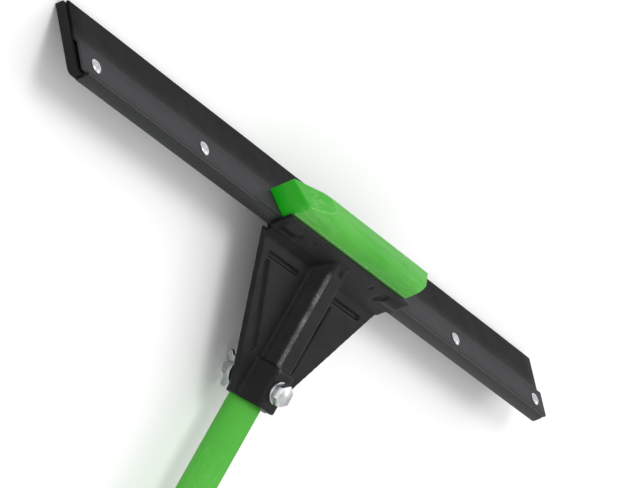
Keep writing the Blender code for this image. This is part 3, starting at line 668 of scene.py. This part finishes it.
def buildSpine():
    bm = mergedCopy("spine_bar", bladeFrame)
    long = [edge for edge in sharpEdges(bm, 60) if edge.calc_length() > spine["longEdge"]]
    roundEdges(bm, spine["edgeRound"], 2, edges=long)
    return addPiece("spineBar", bm, "blackSteel", bladeFrame, mainBody, ("spine_bar",))


buildSpine()
print("spine done")


# ---- the moulded cap and bracket ----

capLook = {"voxel": 0.00055, "relax": 4, "keep": 0.7}
bracketLook = {"voxel": 0.0007, "relax": 3, "keep": 0.5}
toBlade = bladeFrame.inverted()
toHandle = handleFrame.inverted()
capMarks = {
    "rimHeight": 0.0134, "line": 0.0012, "rimAmount": 0.45,
    "cornerTurn": -0.085, "cornerAmount": 0.30,
    "facetAmount": 0.26, "endAmount": 0.74, "endFade": 0.28, "endLow": 0.005, "endHigh": 0.017,
}
capPiece = moulded("centre_cap", "centreCap", "greenPlastic", capLook, bladeFrame)


def capEndShade(place, normal):
    # painted shade: the cut-back left end facet, and the facet turning towards it, are painted a deeper green
    # by which way they face, less so higher up
    turn = toBlade.to_3x3() @ normal
    height = (toBlade @ place).z
    facet = capMarks["facetAmount"] * fade(-turn.x, 0.09, 0.15)
    paler = capMarks["endFade"] * fade(height, capMarks["endLow"], capMarks["endHigh"])
    endFace = (capMarks["endAmount"] - paler) * fade(-turn.x, 0.35, 0.60)
    return facet + endFace


def capHighlight(place, normal):
    # painted highlight: a pale line round the cap's lower rim and along the turn of its left facet, where it
    # faces up
    spot = toBlade @ place
    turn = toBlade.to_3x3() @ normal
    rim = 1.0 - fade(abs(spot.z - capMarks["rimHeight"]), capMarks["line"] * 0.4, capMarks["line"])
    corner = 1.0 - fade(abs(turn.x - capMarks["cornerTurn"]), 0.02, 0.06)
    rimLine = capMarks["rimAmount"] * rim * fade(-turn.y, 0.5, 0.8)
    cornerLine = capMarks["cornerAmount"] * corner * fade(turn.z, 0.2, 0.6)
    return max(rimLine, cornerLine)


paintVerts(capPiece, "deepTone", capEndShade)
paintVerts(capPiece, "rubbedLine", capHighlight)
print("centre cap done")

bracketPiece = moulded("bracket", "bracket", "blackPlastic", bracketLook, handleFrame)
hoodHighlightPlace = {
    "edgeOut": 0.0075, "height": 0.0151, "front": 0.0815, "back": 0.0090, "width": 0.0017,
    "fadeBack": 0.008, "fadeFront": 0.004, "patch": 120.0,
}


def hoodHighlight(place, normal):
    # painted highlight: the hood's left top edge is painted pale along its length
    spot = toHandle @ place
    along = fade(spot.y, hoodHighlightPlace["back"], hoodHighlightPlace["back"] + hoodHighlightPlace["fadeBack"])
    along *= 1.0 - fade(spot.y, hoodHighlightPlace["front"] - hoodHighlightPlace["fadeFront"], hoodHighlightPlace["front"])
    across = 1.0 - fade(abs(spot.x + hoodHighlightPlace["edgeOut"]), hoodHighlightPlace["width"] * 0.35, hoodHighlightPlace["width"])
    above = fade(spot.z, hoodHighlightPlace["height"] - 0.0028, hoodHighlightPlace["height"] - 0.0012)
    patchy = 0.65 + 0.6 * noise.noise(Vector((spot.y * hoodHighlightPlace["patch"], 3.0, 7.0)))
    return across * above * along * patchy


paintVerts(bracketPiece, "rubbedLine", hoodHighlight)
print("bracket done")


# ---- rivets ----

rivets = {
    "head": 0.0044, "rise": 0.0013, "hollow": 0.0015, "hollowDepth": 0.00075,
    "shank": 0.0024, "tail": 0.0040, "tailHeight": 0.0014,
    "steps": 48, "washerEdge": 0.00012,
}


def buildRivet(nodeName, name):
    low, high = localBox(nodeName, bladeFrame)
    centre = (low + high) / 2
    top, bottom = high.z, low.z
    head, rise = rivets["head"], rivets["rise"]
    hollow, floor = rivets["hollow"], top - rivets["hollowDepth"]
    tail, tailTop = rivets["tail"], bottom + rivets["tailHeight"]
    outline = [(0.0, floor), (hollow * 0.8, floor), (hollow, floor + 0.00015),
               (hollow * 1.12, top - 0.0001), (hollow * 1.3, top)]
    outline += [(head * (0.5 + 0.46 * step / 6), top - rise * 0.72 * (step / 6) ** 2.6) for step in range(7)]
    outline += [(head, top - rise * 0.86), (head, top - rise + 0.0001), (head - 0.0001, top - rise),
                (rivets["shank"], top - rise), (rivets["shank"], tailTop),
                (tail - 0.0001, tailTop), (tail, tailTop - 0.0001), (tail * 0.95, bottom + 0.0006),
                (tail * 0.8, bottom + 0.0001), (tail * 0.72, bottom), (0.0, bottom)]
    bm = spun(outline, rivets["steps"])
    place = bladeFrame @ Matrix.Translation((centre.x, centre.y, 0))
    return addPiece(name, bm, "zincSteel", place, mainBody, (nodeName,), 40.0)


def buildEdged(nodeName, name, finish, place, width, body=mainBody, angle=40.0):
    # the solid's own shape with its sharp edges taken off
    bm = mergedCopy(nodeName, place)
    roundEdges(bm, width, 2, angle)
    return addPiece(name, bm, finish, place, body, (nodeName,), 35.0)


for nodeName in sorted(frame["nodes"]):
    if nodeName.startswith("rivet_washer"):
        buildEdged(nodeName, camel(nodeName), "zincSteel", bladeFrame, rivets["washerEdge"])
    elif nodeName.startswith("rivet"):
        buildRivet(nodeName, camel(nodeName))
print("rivets done")


# ---- bolts, nuts and washers ----

fasteners = {
    "head_bolt_left": (bladeFrame, 0.00022, mainBody),
    "head_bolt_right": (bladeFrame, 0.00022, mainBody),
    "captive_nut_left": (bladeFrame, 0.00022, mainBody),
    "captive_nut_right": (bladeFrame, 0.00022, mainBody),
    "clamp_bolt": (handleFrame, 0.00030, mainBody),
    "bolt_washer": (handleFrame, 0.00018, mainBody),
    "nut_washer": (handleFrame, 0.00018, bodyOf("nut_washer")),
}
for nodeName, (place, width, body) in fasteners.items():
    buildEdged(nodeName, camel(nodeName), "zincSteel", place, width, body)
wingLook = {"voxel": 0.0003, "relax": 3, "keep": 0.6}
moulded("wing_nut", "wingNut", "zincSteel", wingLook, handleFrame, bodyOf("wing_nut"))
print("fasteners done")


# ---- the handle ----

tube = {"lip": 0.0002, "rimAngle": 50}


def buildTube():
    bm = mergedCopy("handle_tube", handleFrame)
    roundEdges(bm, tube["lip"], 2, edges=sharpEdges(bm, tube["rimAngle"]))
    return addPiece("handleTube", bm, "greenPaint", handleFrame, mainBody,
                    ("handle_tube",), 40.0)


buildTube()
endCapLook = {"voxel": 0.0005, "relax": 3, "keep": 0.6}
moulded("end_cap", "endCap", "blackPlastic", endCapLook, handleFrame)
print("handle done")
